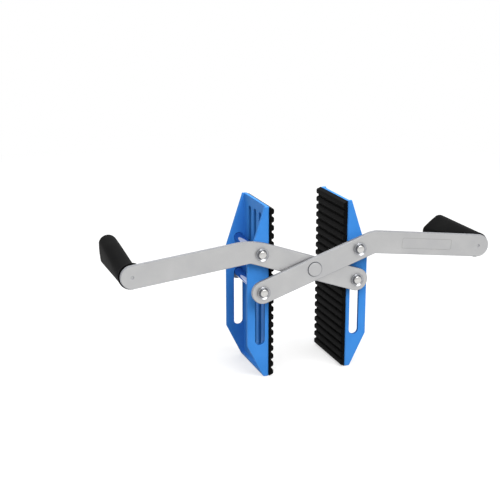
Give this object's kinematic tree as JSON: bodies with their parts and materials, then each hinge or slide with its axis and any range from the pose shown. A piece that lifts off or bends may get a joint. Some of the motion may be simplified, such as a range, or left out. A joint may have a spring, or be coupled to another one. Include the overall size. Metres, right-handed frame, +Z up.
{
  "type": "stone carrying clamp",
  "caption": "Hand clamp that grips a stone slab on edge: two crossed flat-bar arms with rubber handles close two upright padded jaws.",
  "frame": {"origin": "on the floor under the centre pivot in width, and under the middle of the whole depth", "axes": "+X from the left handle to the right one, +Y from the crossed arms towards the free ends of the handles, +Z up"},
  "size_m": [0.5054, 0.1376, 0.226],
  "materials": {
    "zinc_steel": "satin zinc plate",
    "rivet_steel": "bright turned steel",
    "blue_paint": "gloss powder coat",
    "black_rubber": "moulded matt rubber",
    "nylon": "plain nylon"
  },
  "bodies": {
    "left_jaw": {"left_jaw": "blue_paint", "left_pad": "black_rubber"},
    "left_arm": {"left_arm": "zinc_steel", "left_upper_pin": "rivet_steel", "left_upper_spacer": "zinc_steel", "left_upper_washer": "zinc_steel", "right_lower_pin": "rivet_steel", "right_lower_spacer": "zinc_steel", "right_lower_washer": "zinc_steel", "left_handle_rod": "zinc_steel", "left_handle_grip": "black_rubber", "centre_pivot": "zinc_steel"},
    "right_arm": {"right_arm": "zinc_steel", "right_upper_pin": "rivet_steel", "right_upper_spacer": "zinc_steel", "right_upper_washer": "zinc_steel", "left_lower_pin": "rivet_steel", "left_lower_spacer": "zinc_steel", "left_lower_washer": "zinc_steel", "right_handle_rod": "zinc_steel", "right_handle_grip": "black_rubber", "centre_washer": "nylon"},
    "right_jaw": {"right_jaw": "blue_paint", "right_pad": "black_rubber"}
  },
  "joints": [
    {"name": "left_arm_hinge", "type": "hinge", "parent": "left_jaw", "child": "left_arm", "pos_m": [-0.06932, -0.05575, 0.16694], "axis": [0, 1, 0], "range_deg": [0, 33]},
    {"name": "right_arm_hinge", "type": "hinge", "parent": "left_arm", "child": "right_arm", "pos_m": [0, -0.0589, 0.1428], "axis": [0, 1, 0], "range_deg": [-66, 0]},
    {"name": "right_jaw_hinge", "type": "hinge", "parent": "right_arm", "child": "right_jaw", "pos_m": [0.06195, -0.06205, 0.16437], "axis": [0, 1, 0], "range_deg": [0, 33]}
  ],
  "couplings": [
    {"joint": "right_arm_hinge", "follows": "left_arm_hinge", "ratio": -2},
    {"joint": "right_jaw_hinge", "follows": "left_arm_hinge", "ratio": 1}
  ]
}
